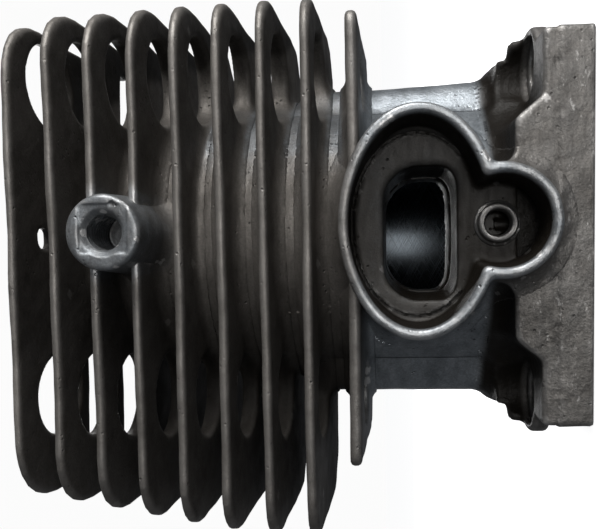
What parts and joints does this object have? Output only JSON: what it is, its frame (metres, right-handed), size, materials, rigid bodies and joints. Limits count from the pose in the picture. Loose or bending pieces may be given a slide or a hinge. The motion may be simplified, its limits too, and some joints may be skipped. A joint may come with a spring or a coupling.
{
  "type": "engine cylinder with integral head",
  "caption": "Air-cooled two-stroke cylinder with its head cast in one piece: finned barrel, square base flange, oval intake spigot, exhaust flange and threaded cover boss.",
  "frame": {"origin": "middle of the part's footprint box on the base plane; the bore axis stands 5.5 mm from it on the +X side", "axes": "+Z along the bore from the base flange to the head, -Y out of the intake spigot, +Y out of the exhaust flange, +X to the side where the fins are shorter"},
  "size_m": [0.0808, 0.068, 0.085],
  "materials": {
    "casting": "dark as-cast aluminium, dull and slightly rough, lighter on worn edges",
    "bright_casting": "cleaner as-cast aluminium, satin, with a fine grain",
    "machined_face": "machined aluminium with fine tool marks",
    "plated_bore": "hard plated and honed bore surface"
  },
  "bodies": {
    "root": {"barrel_wall": "bright_casting", "base_flange": "casting", "bore_liner": "plated_bore", "combustion_head": "casting", "cooling_fin_1": "casting", "cooling_fin_2": "casting", "cooling_fin_3": "casting", "cooling_fin_4": "casting", "cooling_fin_5": "casting", "cooling_fin_6": "casting", "cooling_fin_7": "casting", "cooling_fin_8": "casting", "cooling_fin_9_left": "casting", "cooling_fin_9_right": "casting", "cover_screw_boss": "machined_face", "exhaust_duct": "bright_casting", "exhaust_flange": "machined_face", "exhaust_screw_boss_left": "casting", "exhaust_screw_boss_right": "casting", "impulse_fitting": "machined_face", "intake_spigot": "bright_casting", "spark_plug_boss": "machined_face", "transfer_duct_left": "bright_casting", "transfer_duct_right": "bright_casting"}
  },
  "joints": []
}
